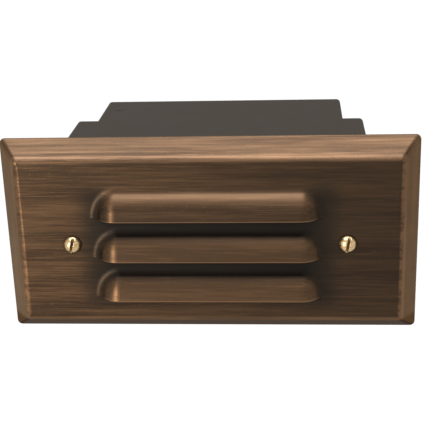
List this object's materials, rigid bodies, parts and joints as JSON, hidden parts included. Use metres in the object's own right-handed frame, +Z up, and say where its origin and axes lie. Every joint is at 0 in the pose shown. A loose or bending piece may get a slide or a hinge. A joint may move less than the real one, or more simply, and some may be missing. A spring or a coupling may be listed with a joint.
{
  "type": "step light",
  "caption": "Recessed louvred step light: antique-bronze hooded faceplate with brass screws over a moulded wall box with lamp, reflector, terminals and cable gland.",
  "frame": {"origin": "middle of the wall plane that the faceplate's rim and the box's flange seat on", "axes": "+X to the right seen from the front, +Y into the wall, +Z up; the light faces -Y"},
  "size_m": [0.181, 0.147, 0.0888],
  "materials": {
    "antique_bronze": "dark antique bronze patina over brushed brass, rubbed to copper on the edges",
    "polished_brass": "polished, lightly worn",
    "machined_brass": "machined, plain",
    "box_plastic": "moulded, matt, fine grained",
    "foam_gasket": "closed-cell foam",
    "clear_silicone": "translucent grey, soft",
    "black_rubber": "smooth, matt",
    "frosted_glass": "sand-blasted on one face",
    "spring_steel": "bright rolled strip",
    "zinc_steel": "zinc plated",
    "reflector_sheet": "bright rolled sheet, satin",
    "white_ceramic": "unglazed steatite",
    "lamp_glass": "clear",
    "pin_metal": "drawn wire",
    "filament_metal": "dull grey",
    "terminal_plastic": "moulded, natural",
    "lead_insulation": "silicone sleeve",
    "gland_plastic": "moulded, black"
  },
  "bodies": {
    "wall_box": {"housing": "box_plastic", "face_gasket": "foam_gasket", "thread_insert_left": "machined_brass", "thread_insert_right": "machined_brass", "reflector": "reflector_sheet", "reflector_screws": "zinc_steel", "lampholder_bracket": "zinc_steel", "bracket_screws": "zinc_steel", "lampholder": "white_ceramic", "lampholder_screws": "zinc_steel", "lampholder_nuts": "zinc_steel", "lampholder_contacts": "spring_steel", "terminal_block": "terminal_plastic", "terminal_barrels": "machined_brass", "terminal_clamp_screws": "zinc_steel", "terminal_block_screw": "zinc_steel", "lead_left": "lead_insulation", "lead_right": "lead_insulation", "gland_body": "gland_plastic", "gland_locknut": "gland_plastic", "gland_washer": "black_rubber", "gland_seal": "black_rubber"},
    "cover": {"faceplate": "antique_bronze", "lens_gasket": "clear_silicone", "lens": "frosted_glass", "lens_clips": "spring_steel", "lens_clip_screws": "zinc_steel"},
    "left_seal_ring": {"screw_seal_ring_left": "black_rubber"},
    "left_screw": {"faceplate_screw_left": "polished_brass"},
    "right_seal_ring": {"screw_seal_ring_right": "black_rubber"},
    "right_screw": {"faceplate_screw_right": "polished_brass"},
    "lamp": {"lamp_bulb": "lamp_glass", "lamp_pins": "pin_metal", "lamp_filament": "filament_metal"},
    "gland_ring": {"gland_slip_washer": "gland_plastic"},
    "gland_nut": {"gland_nut": "gland_plastic"}
  },
  "joints": [
    {"name": "cover_lift_off", "type": "slide", "parent": "wall_box", "child": "cover", "axis": [0, -1, 0], "range_m": [0, 0.06]},
    {"name": "left_screw_travel", "type": "slide", "parent": "cover", "child": "left_seal_ring", "axis": [0, -1, 0], "range_m": [0, 0.01111]},
    {"name": "left_screw_turn", "type": "hinge", "parent": "left_seal_ring", "child": "left_screw", "pos_m": [-0.0598, -0.0105, -0.0012], "axis": [0, -1, 0], "range_deg": [0, 5040]},
    {"name": "right_screw_travel", "type": "slide", "parent": "cover", "child": "right_seal_ring", "axis": [0, -1, 0], "range_m": [0, 0.01111]},
    {"name": "right_screw_turn", "type": "hinge", "parent": "right_seal_ring", "child": "right_screw", "pos_m": [0.0598, -0.0105, -0.0012], "axis": [0, -1, 0], "range_deg": [0, 5040]},
    {"name": "lamp_pull_out", "type": "slide", "parent": "wall_box", "child": "lamp", "axis": [0, -1, 0], "range_m": [0, 0.02]},
    {"name": "gland_travel", "type": "slide", "parent": "wall_box", "child": "gland_ring", "axis": [0, 1, 0], "range_m": [0, 0.00675]},
    {"name": "gland_nut_turn", "type": "hinge", "parent": "gland_ring", "child": "gland_nut", "pos_m": [-0.041, 0.124, -0.014], "axis": [0, 1, 0], "range_deg": [0, 1620]}
  ],
  "couplings": [
    {"joint": "left_screw_turn", "follows": "left_screw_travel", "rad_per_m": 7913.3},
    {"joint": "right_screw_turn", "follows": "right_screw_travel", "rad_per_m": 7913.3},
    {"joint": "gland_nut_turn", "follows": "gland_travel", "rad_per_m": 4188.8}
  ]
}
